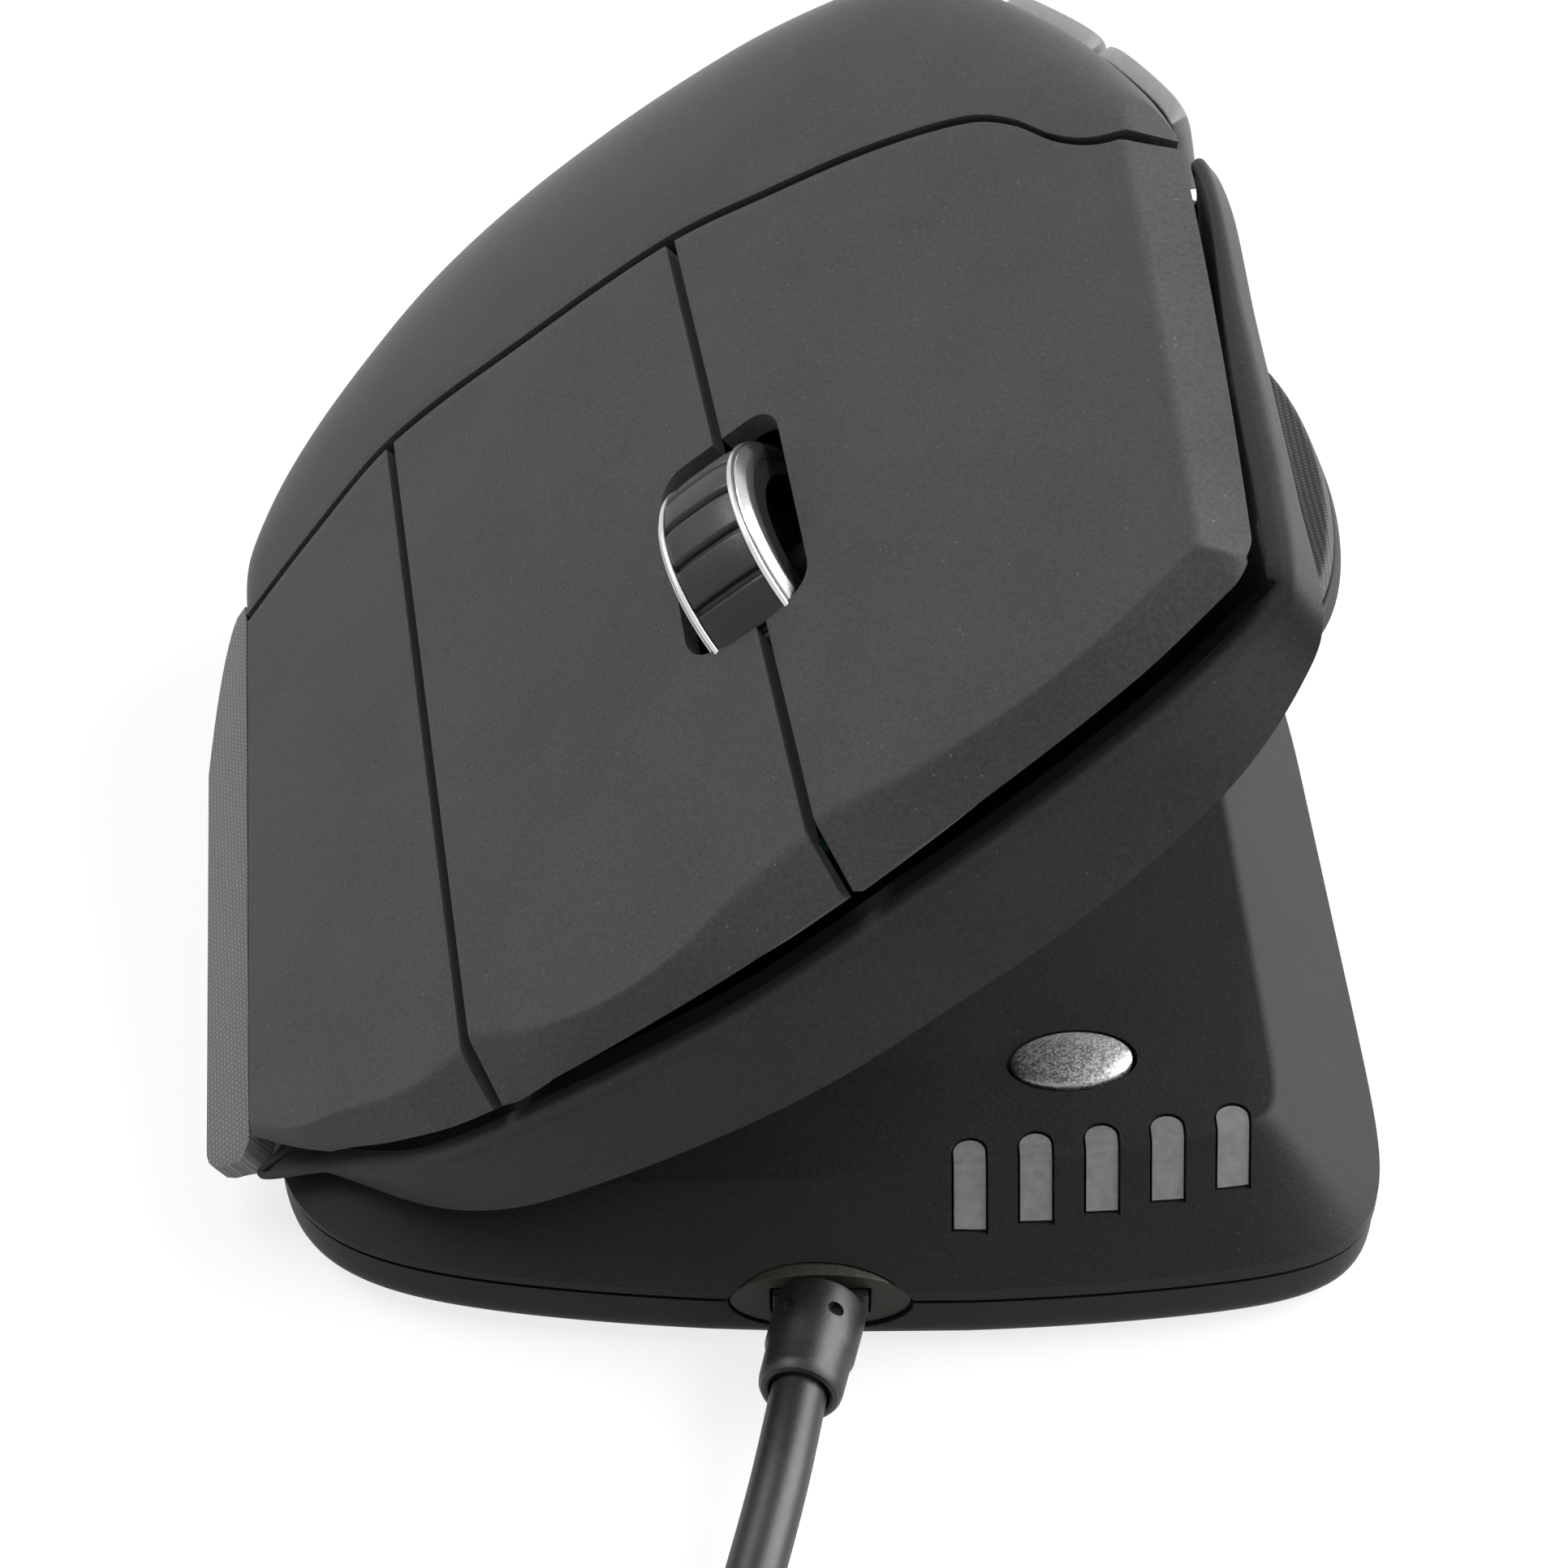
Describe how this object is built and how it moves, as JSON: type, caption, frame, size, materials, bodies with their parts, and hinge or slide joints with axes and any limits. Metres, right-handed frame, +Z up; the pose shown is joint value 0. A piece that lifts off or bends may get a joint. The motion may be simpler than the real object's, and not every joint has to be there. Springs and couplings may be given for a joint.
{
  "type": "computer mouse",
  "caption": "Corded vertical mouse: a tilting upper body on a side hinge with keys, scroll wheel, thumb buttons and rubber grip, on a low base, with an adjustable thumb support.",
  "frame": {"origin": "on the desk, under the middle of the mouse's own box without its cord", "axes": "+Z up from the desk, -Y to the front where the cord leaves, +X to the thumb side"},
  "size_m": [0.1058, 0.2052, 0.0747],
  "materials": {
    "deck_plastic": "charcoal, fine soft-touch grain",
    "base_plastic": "near black, fine grain",
    "inner_plastic": "plain black moulding",
    "switch_plastic": "plain moulding",
    "plunger_plastic": "plain cream moulding",
    "key_plunger_plastic": "plain red moulding",
    "grip_rubber": "grey rubber with a woven texture",
    "tyre_rubber": "ribbed black rubber",
    "cord_rubber": "smooth black",
    "ring_chrome": "bright",
    "silver_plastic": "silver metallic paint",
    "window_plastic": "smoky translucent",
    "bezel_plastic": "dark olive",
    "lens_plastic": "clear moulded lens",
    "board": "green circuit board",
    "lamp": "pale lamp",
    "steel": "bright zinc",
    "washer_brass": "plain",
    "glide": "slick black",
    "tongue_plastic": "white moulding"
  },
  "bodies": {
    "base": {"base_bottom": "base_plastic", "base_top": "base_plastic", "glide_feet": "glide", "base_screws": "steel", "base_board": "board", "sensor_chip": "switch_plastic", "sensor_lens": "lens_plastic", "dpi_switch": "switch_plastic", "light_pipes": "window_plastic", "indicator_leds": "lamp", "port_bezel": "bezel_plastic", "cord_socket": "steel", "hinge_pin": "steel", "hinge_washers": "washer_brass", "cord_boot": "cord_rubber", "boot_plug": "steel", "cord_lead": "cord_rubber", "cord_coil": "cord_rubber", "cord_tail": "cord_rubber", "coil_tie": "cord_rubber", "plug_grip": "cord_rubber", "plug_shell": "steel", "plug_tongue": "tongue_plastic"},
    "dpi_key": {"dpi_button": "silver_plastic", "dpi_plunger": "plunger_plastic"},
    "upper_body": {"lower_shell": "base_plastic", "palm_cover": "deck_plastic", "side_grip": "grip_rubber", "key_frame": "inner_plastic", "body_board": "board", "body_screws": "steel", "board_screws": "steel", "key_switches": "switch_plastic", "thumb_switches": "switch_plastic", "scroll_sensors": "switch_plastic", "click_switch": "switch_plastic", "arm_sleeve": "inner_plastic"},
    "left_key": {"left_button": "deck_plastic", "left_plunger": "key_plunger_plastic"},
    "right_key": {"right_button": "deck_plastic", "right_plunger": "key_plunger_plastic"},
    "third_key": {"third_button": "deck_plastic", "third_plunger": "key_plunger_plastic"},
    "thumb_key_front": {"thumb_button_front": "deck_plastic", "front_plunger": "plunger_plastic"},
    "thumb_key_back": {"thumb_button_back": "deck_plastic", "back_plunger": "plunger_plastic"},
    "wheel_saddle": {"wheel_carrier": "inner_plastic", "click_plunger": "plunger_plastic"},
    "wheel": {"wheel_hub": "inner_plastic", "wheel_tyre": "tyre_rubber", "wheel_rings": "ring_chrome"},
    "support_arm": {"thumb_arm": "inner_plastic"},
    "support_link": {"swivel_link": "inner_plastic", "swivel_pin": "steel"},
    "support_rest": {"thumb_rest": "inner_plastic", "thumb_pad": "grip_rubber", "tilt_pin": "steel"}
  },
  "joints": [
    {"name": "body_tilt", "type": "hinge", "parent": "base", "child": "upper_body", "pos_m": [-0.03492, 0.00347, 0.007], "axis": [0, -1, 0], "range_deg": [-1, 30]},
    {"name": "dpi_press", "type": "slide", "parent": "base", "child": "dpi_key", "axis": [0, 0, -1], "range_m": [0, 0.0006], "stiffness_N_per_m": 900, "springref_m": -0.0004},
    {"name": "left_press", "type": "hinge", "parent": "upper_body", "child": "left_key", "pos_m": [-0.03877, 0.01847, 0.0217], "axis": [0.766, 0, 0.6428], "range_deg": [0, 0.54], "stiffness_Nm_per_rad": 3, "springref_deg": -0.34},
    {"name": "right_press", "type": "hinge", "parent": "upper_body", "child": "right_key", "pos_m": [-0.03877, 0.01847, 0.0217], "axis": [0.766, 0, 0.6428], "range_deg": [0, 0.54], "stiffness_Nm_per_rad": 3, "springref_deg": -0.34},
    {"name": "third_press", "type": "hinge", "parent": "upper_body", "child": "third_key", "pos_m": [-0.03877, 0.01847, 0.0217], "axis": [0.766, 0, 0.6428], "range_deg": [0, 0.54], "stiffness_Nm_per_rad": 3, "springref_deg": -0.34},
    {"name": "thumb_front_press", "type": "slide", "parent": "upper_body", "child": "thumb_key_front", "axis": [-0.766, 0, -0.6428], "range_m": [0, 0.0006], "stiffness_N_per_m": 900, "springref_m": -0.0004},
    {"name": "thumb_back_press", "type": "slide", "parent": "upper_body", "child": "thumb_key_back", "axis": [-0.766, 0, -0.6428], "range_m": [0, 0.0006], "stiffness_N_per_m": 900, "springref_m": -0.0004},
    {"name": "wheel_press", "type": "slide", "parent": "upper_body", "child": "wheel_saddle", "axis": [0.6428, 0, -0.766], "range_m": [0, 0.0005], "stiffness_N_per_m": 1600, "springref_m": -0.0004},
    {"name": "wheel_turn", "type": "hinge", "parent": "wheel_saddle", "child": "wheel", "pos_m": [0.00183, -0.02123, 0.04363], "axis": [0.766, 0, 0.6428], "continuous": true},
    {"name": "support_slide", "type": "slide", "parent": "upper_body", "child": "support_arm", "axis": [1, 0, 0], "range_m": [0, 0.008]},
    {"name": "support_swivel", "type": "hinge", "parent": "support_arm", "child": "support_link", "pos_m": [0.03108, 0.00947, 0.0235], "axis": [0, 0, 1], "range_deg": [-15, 15]},
    {"name": "support_tilt", "type": "hinge", "parent": "support_link", "child": "support_rest", "pos_m": [0.04008, 0.00947, 0.0235], "axis": [0, 1, 0], "range_deg": [-10, 10]}
  ]
}
